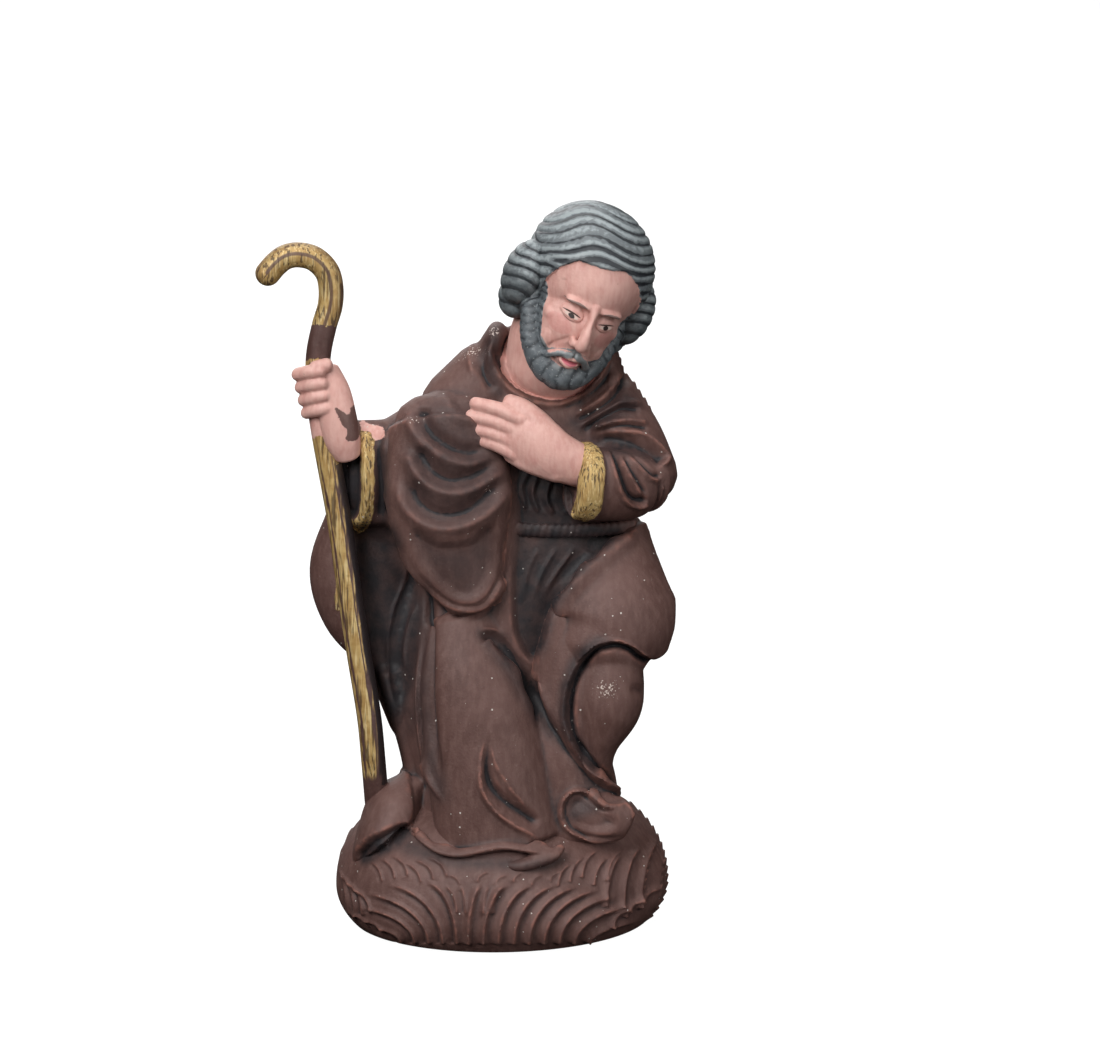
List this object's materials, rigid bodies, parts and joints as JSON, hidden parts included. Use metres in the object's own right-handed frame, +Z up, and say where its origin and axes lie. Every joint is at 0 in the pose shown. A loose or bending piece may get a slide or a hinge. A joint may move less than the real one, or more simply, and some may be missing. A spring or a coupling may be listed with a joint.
{
  "type": "nativity figurine of a kneeling joseph with a crook",
  "caption": "Moulded nativity figurine of a bearded man in robe and cloak, kneeling on a grassy mound, with a hand on a crook and a hand on the breast.",
  "frame": {"origin": "middle of the mound's flat underside", "axes": "+Z up the figure, -Y towards the viewer that the figure faces, +X to that viewer's right"},
  "size_m": [0.07, 0.0479, 0.1244],
  "materials": {
    "painted_plastic": "brushed-on matt paint with a dark wash in the folds"
  },
  "bodies": {
    "root": {"joseph_figurine": "painted_plastic"}
  },
  "joints": []
}
